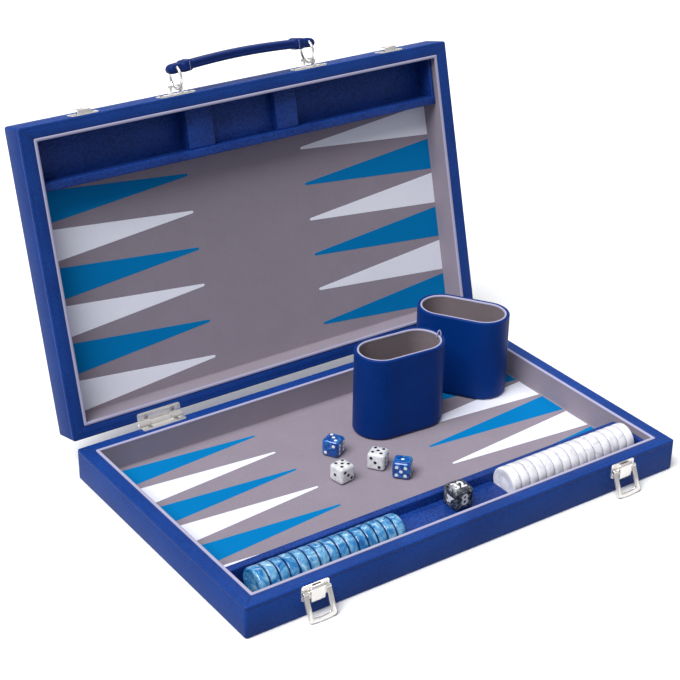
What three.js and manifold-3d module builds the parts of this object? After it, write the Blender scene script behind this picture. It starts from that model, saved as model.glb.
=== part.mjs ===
// A backgammon set: a hinged attaché-style case whose two halves are the board, with a tray in each half,
// latches, a carrying handle, thirty checkers, four dice, a doubling cube and two dice cups.
// Units are millimetres, +Z is up, +X runs along the long edge and the latches face -Y.
// The origin is the centre of the base half's underside.

import * as THREE from 'three';
import { mergeVertices } from 'three/addons/utils/BufferGeometryUtils.js';
import Module from 'manifold-3d';

const wasm = await Module();
wasm.setup();

// Case
const LENGTH = 381;
const DEPTH = 235;
const HALF_HEIGHT = 25.4;
const RIM_X = 10.6;              // rim width at the short sides
const RIM_Y = 9.6;               // rim width at the long sides
const PANEL = 2.6;               // outer board of each half
const CORNER_R = 1.6;
const LINING = 2.0;              // felt-covered lining walls
const LINING_PROUD = 0.5;        // the lining's edge stands above the rim
const FIELD = 4.0;               // height of the playing surface above the outer face
const FIT = 0.3;                 // clearance between fitted pieces
const TRAY_TOP = 20.4;           // rail height above the outer face
const TRAY_WALL = 3.0;
const TRAY_SKIN = 0.9;

// A tray's cells run from one short side to the other: where each ends and how high its floor is.
const CHECKER_TRAY = {
  railBack: -64.8,
  railWidth: 6.2,
  cells: [{ to: -46.2, floor: FIELD }, { to: 51, floor: 13.2 }, { floor: FIELD }],
};
const LID_TRAY = {
  railBack: -67.8,
  railWidth: 6.4,
  cells: [
    { to: -52.5, floor: FIELD }, { to: -30.5, floor: 17.2 }, { to: 26.4, floor: 10.4 },
    { to: 45.5, floor: 17.2 }, { floor: FIELD },
  ],
};

// Hinges
const HINGE_X = 118.5;
const HINGE_LENGTH = 37;
const HINGE_BEHIND = 2.6;        // axis behind the back face
const HINGE_ABOVE = 0.9;         // axis above the base rim
const BARREL_R = 2.1;
const HINGE_PIN_R = 0.8;
const KNUCKLES = [0.25, 0.5, 0.25];
const KNUCKLE_GAP = 0.35;
const LEAF = 0.6;
const LEAF_WIDTH = 6.6;
const LID_ANGLE = 104.35;        // opening angle at rest

// Latches
const LATCH_X = 136.8;
const LATCH_PLATE = { width: 22, height: 11.5, thick: 0.8, top: 24.6 };
const LATCH_BOX = { width: 11, depth: 4.8, top: 24.2, bottom: 12.4 };
const BAIL_PIVOT = { y: -120.0, z: 19.8 };
const BAIL_PIN_R = 0.9;
const BAIL = { width: 22, arm: 3.6, thick: 1.6, length: 20.8, end: 2.8 };
const BAIL_REST = 23;            // degrees out from hanging straight down
const CATCH = { width: 22, height: 9.5, thick: 0.8, hook: 10.5, rise: 4.2 };

// Handle
const HANDLE_X = 59.5;
const HANDLE_W = 5.6;            // distance from the lid's rim plane to the handle's middle plane
const BRACKET = { length: 31, width: 9, thick: 0.9, arch: 5.4, archHalf: 2.4, way: 6.4, top: 7.6 };
const RING_X = 58.75;
const RING_SLIP = 1.25;          // the whole handle has slid this far towards +X in its brackets
const RING_R = 8.6;
const RING_WIRE = 1.1;
const RING_CENTRE = 12.9;        // ring centre out from the lid's free edge
const GRIP = { out: 19, width: 13, eyeWidth: 9.8, rise: 3.2, sleeveEnd: 53, tip: 65.25 };

// Checkers, dice and cups
const CHECKER_R = 12.5;
const CHECKER_THICK = 7.7;
const CHECKER_PITCH = 7.95;
const CHECKER_EDGE = 1.3;
const STACKS = [
  { colour: 'blue', first: -163.4, y: -88.7 },
  { colour: 'white', first: 55.4, y: -83.8 },
];
const DIE = 14;
const DIE_EDGE = 2.4;
const DICE = [
  { name: 'blue_die_1', colour: 'blue', x: -15.6, y: 36.6, yaw: 29 },
  { name: 'white_die_1', colour: 'white', x: -31.6, y: 2.2, yaw: 8 },
  { name: 'white_die_2', colour: 'white', x: 1.6, y: 2.6, yaw: 36 },
  { name: 'blue_die_2', colour: 'blue', x: 9.6, y: -17.6, yaw: 43 },
];
const CUBE = { size: 16.2, edge: 2.2, x: 10.2, y: -82.8, yaw: -2 };
const CUP = { length: 76, width: 41, height: 69.6, wall: 2.6, floor: 3, edge: 2.4 };
const CUPS = [
  { name: 'dice_cup_front', x: 52.9, y: 47.4, yaw: -4 },
  { name: 'dice_cup_back', x: 132.6, y: 69.2, yaw: -57 },
];

const RIM_GAP = 2 * HINGE_ABOVE;
const AXIS_Y = DEPTH / 2 + HINGE_BEHIND;
const AXIS_Z = HALF_HEIGHT + HINGE_ABOVE;

const leather = (colour) => new THREE.MeshStandardMaterial({ color: colour, roughness: 0.55, metalness: 0 });
const felt = new THREE.MeshStandardMaterial({ color: 0x8d8285, roughness: 0.95, metalness: 0 });
const nickel = new THREE.MeshStandardMaterial({ color: 0xd9d7d4, roughness: 0.22, metalness: 1 });
const caseLeather = leather(0x1b3f9c);
const trayLeather = leather(0x17347c);
const cupLeather = leather(0x0a1f66);
const acrylic = {
  blue: new THREE.MeshStandardMaterial({ color: 0x1d6fc4, roughness: 0.15, metalness: 0 }),
  white: new THREE.MeshStandardMaterial({ color: 0xf1f0f2, roughness: 0.15, metalness: 0 }),
  smoke: new THREE.MeshStandardMaterial({ color: 0x3a3d45, roughness: 0.15, metalness: 0 }),
};

// ---- geometry helpers ----

function solidOf(geometry) {
  const bare = geometry.clone();
  bare.deleteAttribute('normal');
  bare.deleteAttribute('uv');
  const merged = mergeVertices(bare, 1e-5);
  return new wasm.Manifold(new wasm.Mesh({
    numProp: 3,
    vertProperties: new Float32Array(merged.attributes.position.array),
    triVerts: new Uint32Array(merged.index.array),
  }));
}

function geometryOf(solid) {
  const mesh = solid.getMesh();
  const geometry = new THREE.BufferGeometry();
  geometry.setAttribute('position', new THREE.BufferAttribute(mesh.vertProperties, 3));
  geometry.setIndex(new THREE.BufferAttribute(mesh.triVerts, 1));
  geometry.computeVertexNormals();
  return geometry;
}

function cut(geometry, ...tools) {
  return geometryOf(tools.reduce((solid, tool) => solid.subtract(solidOf(tool)), solidOf(geometry)));
}

function join(geometry, ...others) {
  return geometryOf(others.reduce((solid, other) => solid.add(solidOf(other)), solidOf(geometry)));
}

// A box from its lowest to its highest corner.
function block(x0, y0, z0, x1, y1, z1) {
  return new THREE.BoxGeometry(x1 - x0, y1 - y0, z1 - z0)
    .translate((x0 + x1) / 2, (y0 + y1) / 2, (z0 + z1) / 2);
}

function roundedRectangle(width, height, radius) {
  const x = width / 2;
  const y = height / 2;
  const shape = new THREE.Shape();
  shape.moveTo(-x + radius, -y);
  shape.lineTo(x - radius, -y);
  shape.absarc(x - radius, -y + radius, radius, -Math.PI / 2, 0);
  shape.lineTo(x, y - radius);
  shape.absarc(x - radius, y - radius, radius, 0, Math.PI / 2);
  shape.lineTo(-x + radius, y);
  shape.absarc(-x + radius, y - radius, radius, Math.PI / 2, Math.PI);
  shape.lineTo(-x, -y + radius);
  shape.absarc(-x + radius, -y + radius, radius, Math.PI, 1.5 * Math.PI);
  return shape;
}

// A prism with rounded corners, standing from z0 to z1.
function roundedBlock(width, depth, z0, z1, radius, segments = 3) {
  return new THREE.ExtrudeGeometry(roundedRectangle(width, depth, radius), {
    depth: z1 - z0, bevelEnabled: false, curveSegments: segments,
  }).translate(0, 0, z0);
}

// The same with its top and bottom edges bevelled.
function bevelledBlock(width, depth, z0, z1, radius, bevel, segments, bevelSegments) {
  const shape = roundedRectangle(width - 2 * bevel, depth - 2 * bevel, Math.max(radius - bevel, 0.05));
  return new THREE.ExtrudeGeometry(shape, {
    depth: z1 - z0 - 2 * bevel, bevelEnabled: true, bevelThickness: bevel, bevelSize: bevel,
    bevelSegments, curveSegments: segments,
  }).translate(0, 0, z0 + bevel);
}

function cylinderX(radius, x0, x1, y, z, segments = 16) {
  return new THREE.CylinderGeometry(radius, radius, x1 - x0, segments)
    .rotateZ(Math.PI / 2).translate((x0 + x1) / 2, y, z);
}

function mirrorX(geometry) {
  const mirrored = geometry.clone().scale(-1, 1, 1);
  const index = mirrored.index ? mirrored.index.array : null;
  if (index) {
    for (let i = 0; i < index.length; i += 3) {
      [index[i], index[i + 1]] = [index[i + 1], index[i]];
    }
    return mirrored;
  }
  const position = mirrored.attributes.position;
  for (let i = 0; i < position.count; i += 3) {
    for (let axis = 0; axis < 3; axis += 1) {
      const kept = position.getComponent(i, axis);
      position.setComponent(i, axis, position.getComponent(i + 1, axis));
      position.setComponent(i + 1, axis, kept);
    }
  }
  return mirrored;
}

function add(parent, name, geometry, material) {
  const mesh = new THREE.Mesh(geometry, material);
  mesh.name = name;
  parent.add(mesh);
  return mesh;
}

// Both hands of a piece that is modelled on the +X side.
function addPair(parent, name, geometry, material) {
  add(parent, `${name}_right`, geometry, material);
  add(parent, `${name}_left`, mirrorX(geometry), material);
}

// ---- one half of the case, outer face at z = 0 and rim at z = HALF_HEIGHT ----

function caseFrame() {
  const outer = bevelledBlock(LENGTH, DEPTH, 0, HALF_HEIGHT, CORNER_R, 0.6, 3, 1);
  const well = block(
    -LENGTH / 2 + RIM_X, -DEPTH / 2 + RIM_Y, PANEL + FIT / 2,
    LENGTH / 2 - RIM_X, DEPTH / 2 - RIM_Y, HALF_HEIGHT + 1,
  );
  const under = block(
    -LENGTH / 2 + RIM_X - 4, -DEPTH / 2 + RIM_Y - 4, -1,
    LENGTH / 2 - RIM_X + 4, DEPTH / 2 - RIM_Y + 4, PANEL + FIT,
  );
  return cut(outer, well, under);
}

function casePanel() {
  const reach = 4 - FIT;
  return block(
    -LENGTH / 2 + RIM_X - reach, -DEPTH / 2 + RIM_Y - reach, 0,
    LENGTH / 2 - RIM_X + reach, DEPTH / 2 - RIM_Y + reach, PANEL,
  );
}

function caseLining(railBack) {
  const x = LENGTH / 2 - RIM_X - FIT / 2;
  const y = DEPTH / 2 - RIM_Y - FIT / 2;
  const tub = block(-x, -y, PANEL + FIT, x, y, HALF_HEIGHT + LINING_PROUD);
  const hollow = block(-x + LINING, -y + LINING, FIELD, x - LINING, y - LINING, HALF_HEIGHT + 2);
  const trayPlace = block(-x + LINING, -y + LINING, PANEL - 1, x - LINING, railBack + FIT, FIELD + 1);
  return cut(tub, hollow, trayPlace);
}

// The leather tray along the latch side: stepped floor, rail, two end walls and a skin on the front wall.
function tray({ railBack, railWidth, cells }) {
  const x = LENGTH / 2 - RIM_X - LINING - FIT;
  const y0 = -DEPTH / 2 + RIM_Y + LINING + FIT;
  const hollows = [];
  let from = -x + TRAY_WALL;
  for (const { to = x - TRAY_WALL, floor } of cells) {
    hollows.push(block(from - 0.01, y0 + TRAY_SKIN, floor, to + 0.01, railBack - railWidth, TRAY_TOP + 1));
    from = to;
  }
  return cut(block(-x, y0, PANEL + FIT, x, railBack, TRAY_TOP), ...hollows);
}

// ---- hinge, in the closed case, on the +X side ----

function knuckleSpans() {
  const start = HINGE_X - HINGE_LENGTH / 2;
  const ends = [start];
  for (const part of KNUCKLES) ends.push(ends[ends.length - 1] + part * HINGE_LENGTH);
  return ends;
}

function leafPlate(z0, z1) {
  const x0 = HINGE_X - HINGE_LENGTH / 2;
  return block(x0, DEPTH / 2 - LEAF_WIDTH, z0, x0 + HINGE_LENGTH, AXIS_Y, z1);
}

function baseLeaf() {
  const ends = knuckleSpans();
  const z0 = HALF_HEIGHT + 0.05;
  const middle = block(ends[1] - KNUCKLE_GAP, DEPTH / 2 + 0.1, z0 - 1, ends[2] + KNUCKLE_GAP, AXIS_Y + 1, z0 + 2);
  const plate = cut(leafPlate(z0, z0 + LEAF), middle);
  const barrels = [[ends[0], ends[1]], [ends[2], ends[3]]]
    .map(([a, b]) => cylinderX(BARREL_R, a, b, AXIS_Y, AXIS_Z));
  const pin = cylinderX(HINGE_PIN_R, ends[0], ends[3], AXIS_Y, AXIS_Z, 12);
  return join(plate, ...barrels, pin);
}

function lidLeaf() {
  const ends = knuckleSpans();
  const z1 = HALF_HEIGHT + RIM_GAP - 0.05;
  const cutter = (a, b) => block(a, DEPTH / 2 + 0.1, z1 - 3, b, AXIS_Y + 1, z1 + 1);
  const plate = cut(
    leafPlate(z1 - LEAF, z1),
    cutter(ends[0] - 1, ends[1] + KNUCKLE_GAP), cutter(ends[2] - KNUCKLE_GAP, ends[3] + 1),
  );
  const barrel = cylinderX(BARREL_R, ends[1] + KNUCKLE_GAP, ends[2] - KNUCKLE_GAP, AXIS_Y, AXIS_Z);
  const bore = cylinderX(HINGE_PIN_R + 0.15, ends[1], ends[2], AXIS_Y, AXIS_Z, 12);
  return cut(join(plate, barrel), bore);
}

// ---- latch, in the closed case, on the +X side ----

const FRONT = -DEPTH / 2;

// Side profiles are drawn with out = distance from the front face and up = height.
function frontStrap(outline, x0, x1) {
  const shape = new THREE.Shape(outline.map(([out, up]) => new THREE.Vector2(out, up)));
  const matrix = new THREE.Matrix4().makeBasis(
    new THREE.Vector3(0, -1, 0), new THREE.Vector3(0, 0, 1), new THREE.Vector3(-1, 0, 0),
  );
  return new THREE.ExtrudeGeometry(shape, { depth: x1 - x0, bevelEnabled: false })
    .applyMatrix4(matrix).translate(x1, FRONT, 0);
}

// A plate with rounded corners against the front face, centred at height z.
function frontPlate(x, z, width, height, thick) {
  return roundedBlock(width, height, 0.05, thick, 1.4)
    .rotateX(Math.PI / 2).translate(x, FRONT, z);
}

function latchPlate() {
  const half = LATCH_BOX.width / 2;
  const plate = frontPlate(
    LATCH_X, LATCH_PLATE.top - LATCH_PLATE.height / 2,
    LATCH_PLATE.width, LATCH_PLATE.height, LATCH_PLATE.thick,
  );
  const hump = frontStrap([
    [0.4, LATCH_BOX.bottom], [LATCH_BOX.depth - 1.2, LATCH_BOX.bottom], [LATCH_BOX.depth, LATCH_BOX.bottom + 1.2],
    [LATCH_BOX.depth, LATCH_BOX.top - 1.4], [LATCH_BOX.depth - 1.4, LATCH_BOX.top], [0.4, LATCH_BOX.top],
  ], LATCH_X - half, LATCH_X + half);
  const bore = cylinderX(
    BAIL_PIN_R + FIT, LATCH_X - half - 1, LATCH_X + half + 1, BAIL_PIVOT.y, BAIL_PIVOT.z, 12,
  );
  const slot = block(
    LATCH_X - half + 1.6, FRONT - LATCH_BOX.depth + 1.5, BAIL_PIVOT.z + 2.6,
    LATCH_X + half - 1.6, FRONT - LATCH_PLATE.thick - 0.3, LATCH_BOX.top + 1,
  );
  return cut(join(plate, hump), bore, slot);
}

// The bail hangs straight down from its pin here and is turned to its rest afterwards.
function bail() {
  const outline = new THREE.Shape();
  const x = BAIL.width / 2;
  const tip = -BAIL.length;
  outline.moveTo(-x, 0.9);
  outline.lineTo(-x, tip + 2.6);
  outline.quadraticCurveTo(-x, tip + 0.4, -x + 2.6, tip + 0.3);
  outline.quadraticCurveTo(0, tip - 0.3, x - 2.6, tip + 0.3);
  outline.quadraticCurveTo(x, tip + 0.4, x, tip + 2.6);
  outline.lineTo(x, 0.9);
  outline.lineTo(x - BAIL.arm, 0.9);
  outline.lineTo(x - BAIL.arm, tip + BAIL.end + 1.2);
  outline.quadraticCurveTo(x - BAIL.arm, tip + BAIL.end, x - BAIL.arm - 1.2, tip + BAIL.end);
  outline.lineTo(-x + BAIL.arm + 1.2, tip + BAIL.end);
  outline.quadraticCurveTo(-x + BAIL.arm, tip + BAIL.end, -x + BAIL.arm, tip + BAIL.end + 1.2);
  outline.lineTo(-x + BAIL.arm, 0.9);
  const loop = new THREE.ExtrudeGeometry(outline, { depth: BAIL.thick, bevelEnabled: false, curveSegments: 4 })
    .translate(0, 0, -BAIL.thick / 2).rotateX(Math.PI / 2);
  const pin = cylinderX(BAIL_PIN_R, -x + 0.5, x - 0.5, 0, 0, 12);
  const eye = (side) => cylinderX(1.25, side - BAIL.arm / 2, side + BAIL.arm / 2, 0, 0, 12);
  return join(loop, pin, eye(x - BAIL.arm / 2), eye(-x + BAIL.arm / 2));
}

function catchPlate() {
  const plate = frontPlate(LATCH_X, 0.6 + CATCH.height / 2, CATCH.width, CATCH.height, CATCH.thick);
  const half = CATCH.hook / 2;
  const hook = frontStrap([
    [0.4, 1.6], [3.0, 2.0], [CATCH.rise, 3.2], [CATCH.rise, 9.2], [CATCH.rise - 1.1, 9.2],
    [CATCH.rise - 1.1, 4.0], [2.4, 3.2], [0.4, 2.9],
  ], LATCH_X - half, LATCH_X + half);
  return join(plate, hook);
}

// ---- handle, on the lid's free edge with the rim plane at z = 0 ----

// Takes a drawing's across, out and depth to +X, -Y and -Z.
const OUTWARD = new THREE.Matrix4().makeBasis(
  new THREE.Vector3(1, 0, 0), new THREE.Vector3(0, -1, 0), new THREE.Vector3(0, 0, -1),
);

function handleBracket() {
  const plate = frontPlate(HANDLE_X, HANDLE_W, BRACKET.length, BRACKET.width, BRACKET.thick);
  const half = BRACKET.arch;
  const arch = new THREE.Shape();
  arch.moveTo(-half, 0.4);
  arch.lineTo(half, 0.4);
  arch.lineTo(half, BRACKET.top - 2.4);
  arch.quadraticCurveTo(half, BRACKET.top, half - 2.4, BRACKET.top);
  arch.lineTo(-half + 2.4, BRACKET.top);
  arch.quadraticCurveTo(-half, BRACKET.top, -half, BRACKET.top - 2.4);
  const staple = new THREE.ExtrudeGeometry(arch, {
    depth: 2 * BRACKET.archHalf, bevelEnabled: false, curveSegments: 4,
  }).applyMatrix4(OUTWARD).translate(HANDLE_X, FRONT, HANDLE_W + BRACKET.archHalf);
  const way = block(
    HANDLE_X - 3.8, FRONT - BRACKET.way, HANDLE_W - 8, HANDLE_X + 3.8, FRONT - BRACKET.thick, HANDLE_W + 8,
  );
  return join(plate, cut(staple, way));
}

function ring(x, wire = RING_WIRE, segments = 28) {
  return new THREE.TorusGeometry(RING_R, wire, 8, segments)
    .rotateY(Math.PI / 2).translate(x, FRONT - RING_CENTRE, HANDLE_W);
}

// The grip is a padded strap, slightly arched. At each end a thicker sleeve closes the fold round the ring.
function grip() {
  const lift = (x) => GRIP.rise * Math.cos((Math.PI / 2) * Math.min(1, x / GRIP.tip));
  const halves = [
    [0, 3.6], [14, 3.6], [28, 3.6], [45, 3.5], [47, 4.5], [GRIP.sleeveEnd, 4.6], [GRIP.sleeveEnd + 1.6, 3.9],
    [GRIP.tip - 2.6, 3.8], [GRIP.tip - 0.8, 2.9], [GRIP.tip, 1.5],
  ];
  const outer = halves.map(([x, half]) => [x, lift(x) + half]);
  const inner = halves.map(([x, half]) => [x, lift(x) - half]).reverse();
  const right = [...outer, ...inner];
  const left = right.slice(1, -1).reverse().map(([x, out]) => [-x, out]);
  const shape = new THREE.Shape([...right, ...left].map(([x, out]) => new THREE.Vector2(x, out)));
  const body = new THREE.ExtrudeGeometry(shape, {
    depth: GRIP.width - 2, bevelEnabled: true, bevelThickness: 1, bevelSize: 0.9, bevelOffset: -0.9, bevelSegments: 1,
  }).applyMatrix4(OUTWARD).translate(RING_SLIP, FRONT - GRIP.out, HANDLE_W + GRIP.width / 2 - 1);
  const cutters = [];
  for (const side of [1, -1]) {
    const x0 = RING_SLIP + side * (GRIP.sleeveEnd + 1.4);
    const x1 = RING_SLIP + side * (GRIP.tip + 1);
    for (const edge of [1, -1]) {
      const w0 = HANDLE_W + edge * (GRIP.eyeWidth / 2);
      const w1 = HANDLE_W + edge * GRIP.width;
      cutters.push(block(
        Math.min(x0, x1), FRONT - GRIP.out - 8, Math.min(w0, w1),
        Math.max(x0, x1), FRONT - GRIP.out + 8, Math.max(w0, w1),
      ));
    }
    cutters.push(ring(RING_SLIP + side * RING_X, RING_WIRE + FIT));
  }
  return cut(body, ...cutters);
}

// ---- loose pieces ----

function checker() {
  const half = CHECKER_THICK / 2;
  const profile = [
    [0, -half], [CHECKER_R - CHECKER_EDGE, -half], [CHECKER_R, -half + CHECKER_EDGE],
    [CHECKER_R, half - CHECKER_EDGE], [CHECKER_R - CHECKER_EDGE, half], [0, half],
  ].map(([radius, height]) => new THREE.Vector2(radius, height));
  return new THREE.LatheGeometry(profile, 24).rotateZ(-Math.PI / 2);
}

function die(size, edge) {
  return bevelledBlock(size, size, 0, size, edge + 0.1, edge, 2, 2);
}

function stadium(length, width) {
  return roundedRectangle(length, width, width / 2 - 0.01);
}

function diceCup() {
  const outer = new THREE.ExtrudeGeometry(stadium(CUP.length - 2 * CUP.edge, CUP.width - 2 * CUP.edge), {
    depth: CUP.height - CUP.edge - 0.6, bevelEnabled: true, bevelThickness: CUP.edge, bevelSize: CUP.edge,
    bevelSegments: 2, curveSegments: 9,
  }).translate(0, 0, CUP.edge);
  const top = block(-CUP.length, -CUP.width, CUP.height, CUP.length, CUP.width, CUP.height + 10);
  const inner = new THREE.ExtrudeGeometry(
    stadium(CUP.length - 2 * CUP.wall, CUP.width - 2 * CUP.wall),
    { depth: CUP.height, bevelEnabled: false, curveSegments: 9 },
  ).translate(0, 0, CUP.floor);
  return cut(outer, top, inner);
}

// ---- assembly ----

const group = new THREE.Group();

const base = new THREE.Group();
group.add(base);
add(base, 'base_frame', caseFrame(), caseLeather);
add(base, 'base_bottom_panel', casePanel(), caseLeather);
add(base, 'base_lining', caseLining(CHECKER_TRAY.railBack), felt);
add(base, 'checker_tray', tray(CHECKER_TRAY), trayLeather);
addPair(base, 'hinge_base_leaf', baseLeaf(), nickel);
addPair(base, 'latch_plate', latchPlate(), nickel);

for (const side of [1, -1]) {
  const mesh = add(base, `latch_bail_${side > 0 ? 'right' : 'left'}`, bail(), nickel);
  mesh.position.set(side * LATCH_X, BAIL_PIVOT.y, BAIL_PIVOT.z);
  mesh.rotation.x = -THREE.MathUtils.degToRad(BAIL_REST);
}

// The lid's group turns about the hinge axis; its pieces are placed as in the closed case.
const lid = new THREE.Group();
lid.position.set(0, AXIS_Y, AXIS_Z);
lid.rotation.x = -THREE.MathUtils.degToRad(LID_ANGLE);
group.add(lid);

const closed = new THREE.Group();
closed.position.set(0, -AXIS_Y, -AXIS_Z);
lid.add(closed);

// The lid's case pieces are the base's, turned upside down about the long axis.
const turned = (geometry) => geometry.clone().rotateX(Math.PI).translate(0, 0, 2 * HALF_HEIGHT + RIM_GAP);
const mirrorY = (geometry) => mirrorX(geometry.clone().rotateZ(Math.PI / 2)).rotateZ(-Math.PI / 2);
const inLid = (geometry) => turned(mirrorY(geometry));
const fromRim = (geometry) => geometry.translate(0, 0, HALF_HEIGHT + RIM_GAP);

add(closed, 'lid_frame', inLid(caseFrame()), caseLeather);
add(closed, 'lid_panel', inLid(casePanel()), caseLeather);
add(closed, 'lid_lining', inLid(caseLining(LID_TRAY.railBack)), felt);
add(closed, 'lid_tray', inLid(tray(LID_TRAY)), trayLeather);
addPair(closed, 'hinge_lid_leaf', lidLeaf(), nickel);
addPair(closed, 'catch_plate', fromRim(catchPlate()), nickel);
addPair(closed, 'handle_bracket', fromRim(handleBracket()), nickel);
add(closed, 'handle_ring_right', fromRim(ring(RING_SLIP + RING_X)), nickel);
add(closed, 'handle_ring_left', fromRim(ring(RING_SLIP - RING_X)), nickel);
add(closed, 'handle_grip', fromRim(grip()), caseLeather);

for (const stack of STACKS) {
  for (let i = 0; i < 15; i += 1) {
    const number = String(i + 1).padStart(2, '0');
    const mesh = add(base, `checker_${stack.colour}_${number}`, checker(), acrylic[stack.colour]);
    mesh.position.set(stack.first + i * CHECKER_PITCH, stack.y, FIELD + 0.1 + CHECKER_R);
  }
}

for (const { name, colour, x, y, yaw } of DICE) {
  const mesh = add(base, name, die(DIE, DIE_EDGE), acrylic[colour]);
  mesh.position.set(x, y, FIELD + 0.1);
  mesh.rotation.z = THREE.MathUtils.degToRad(yaw);
}

const cube = add(base, 'doubling_cube', die(CUBE.size, CUBE.edge), acrylic.smoke);
cube.position.set(CUBE.x, CUBE.y, CHECKER_TRAY.cells[1].floor + 0.1);
cube.rotation.z = THREE.MathUtils.degToRad(CUBE.yaw);

for (const { name, x, y, yaw } of CUPS) {
  const mesh = add(base, name, diceCup(), cupLeather);
  mesh.position.set(x, y, FIELD + 0.1);
  mesh.rotation.z = THREE.MathUtils.degToRad(yaw);
}

export default group;
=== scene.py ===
# A folding backgammon set, open on a pale floor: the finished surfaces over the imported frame.
# Lengths in this file are millimetres in the frame's own axes until make() turns them into metres.
import math
import bmesh
import bpy
from mathutils import Matrix, Vector


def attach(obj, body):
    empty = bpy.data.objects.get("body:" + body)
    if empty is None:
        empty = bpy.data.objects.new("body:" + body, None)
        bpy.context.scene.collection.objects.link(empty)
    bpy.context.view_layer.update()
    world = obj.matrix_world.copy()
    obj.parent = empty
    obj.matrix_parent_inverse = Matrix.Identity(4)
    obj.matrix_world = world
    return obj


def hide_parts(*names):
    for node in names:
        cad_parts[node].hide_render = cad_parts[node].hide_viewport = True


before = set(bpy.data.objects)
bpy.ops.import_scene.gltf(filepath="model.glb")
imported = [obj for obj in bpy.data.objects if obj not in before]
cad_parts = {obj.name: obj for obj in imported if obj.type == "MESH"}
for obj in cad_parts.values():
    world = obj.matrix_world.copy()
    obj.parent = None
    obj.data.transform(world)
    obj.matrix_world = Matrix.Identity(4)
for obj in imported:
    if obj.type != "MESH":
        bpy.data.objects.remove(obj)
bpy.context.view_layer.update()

# ---- the case's dimensions, as in the CAD ----
HALF_X = 190.5
HALF_Y = 117.5
HEIGHT = 25.4
RIM_X = 10.6
RIM_Y = 9.6
BOARD_TOP = 3.0
LINING = 2.0
FIELD = 4.0
TRAY_TOP = 20.35
LID_ANGLE = 104.35
LID_BOTTOM = 27.2
LID_TOP = 52.6
# The hinge pins lie this far out from the back wall and up from the base's rim.
PIN_OUT = 2.6
PIN_UP = 0.9
AXIS = Vector((0, HALF_Y + PIN_OUT, HEIGHT + PIN_UP))
# Each tray's rail as (back, width), and its cells as (from x, to x, floor).
BASE_RAIL = (-64.8, 6.2)
LID_RAIL = (-67.8, 6.4)
BASE_CELLS = [(-174.4, -46.2, 4.0), (-46.2, 51.0, 13.2), (51.0, 174.4, 4.0)]
LID_CELLS = [(-174.4, -52.5, 4.0), (-52.5, -30.5, 17.2), (-30.5, 26.4, 10.4), (26.4, 45.5, 17.2),
             (45.5, 174.4, 4.0)]
# The checkers stand in two stacks, each given as (first checker's x, y).
DISCS = 15
PITCH = 7.95
BLUE_STACK = (-163.4, -88.7)
WHITE_STACK = (55.4, -83.8)

# The open lid's place from its closed one. LID carries a half drawn as the base, LID_RIM the lid's hardware.
OPENED = (Matrix.Translation(AXIS) @ Matrix.Rotation(math.radians(-LID_ANGLE), 4, "X")
          @ Matrix.Translation(-AXIS))
BASE = Matrix.Identity(4)
LID = OPENED @ Matrix.Translation((0, 0, LID_TOP)) @ Matrix.Diagonal((1, 1, -1, 1))
LID_RIM = OPENED @ Matrix.Translation((0, 0, LID_BOTTOM))
# Local x to +X, local y to +Z, local z out of the front face.
ON_FRONT = Matrix(((1, 0, 0, 0), (0, 0, -1, -HALF_Y), (0, 1, 0, 0), (0, 0, 0, 1)))
MM = Matrix.Scale(0.001, 4)


# ---- materials ----
def new_material(name):
    mat = bpy.data.materials.new(name)
    mat.use_nodes = True
    nodes = mat.node_tree.nodes
    links = mat.node_tree.links
    bsdf = nodes["Principled BSDF"]
    coord = nodes.new("ShaderNodeTexCoord")
    return mat, nodes, links, bsdf, coord.outputs["Object"]


def noise(nodes, links, vector, scale, detail, rough=0.5, distortion=0.0):
    node = nodes.new("ShaderNodeTexNoise")
    node.inputs["Scale"].default_value = scale
    node.inputs["Detail"].default_value = detail
    node.inputs["Roughness"].default_value = rough
    node.inputs["Distortion"].default_value = distortion
    links.new(vector, node.inputs["Vector"])
    return node.outputs["Fac"]


def cells(nodes, links, vector, scale):
    node = nodes.new("ShaderNodeTexVoronoi")
    node.feature = "SMOOTH_F1"
    node.inputs["Scale"].default_value = scale
    links.new(vector, node.inputs["Vector"])
    return node.outputs["Distance"]


def ramp(nodes, links, value, stops):
    node = nodes.new("ShaderNodeValToRGB")
    elements = node.color_ramp.elements
    while len(elements) < len(stops):
        elements.new(0.5)
    for element, (position, colour) in zip(elements, stops):
        element.position = position
        element.color = (*colour, 1)
    links.new(value, node.inputs["Fac"])
    return node.outputs["Color"]


def remap(nodes, links, value, low, high):
    node = nodes.new("ShaderNodeMapRange")
    node.inputs["To Min"].default_value = low
    node.inputs["To Max"].default_value = high
    links.new(value, node.inputs["Value"])
    return node.outputs["Result"]


def calculate(nodes, links, a, how, b):
    """A Math node's result for output a and b, which is an output or a number."""
    node = nodes.new("ShaderNodeMath")
    node.operation = how
    links.new(a, node.inputs[0])
    if isinstance(b, float):
        node.inputs[1].default_value = b
    else:
        links.new(b, node.inputs[1])
    return node.outputs[0]


def bump(nodes, links, height, strength, distance, below=None):
    node = nodes.new("ShaderNodeBump")
    node.inputs["Strength"].default_value = strength
    node.inputs["Distance"].default_value = distance
    links.new(height, node.inputs["Height"])
    if below is not None:
        links.new(below, node.inputs["Normal"])
    return node.outputs["Normal"]


def srgb(r, g, b):
    """A display colour, 0 to 255, as linear light."""
    return tuple(c / 255 / 12.92 if c <= 10 else ((c / 255 + 0.055) / 1.055) ** 2.4 for c in (r, g, b))


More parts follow.
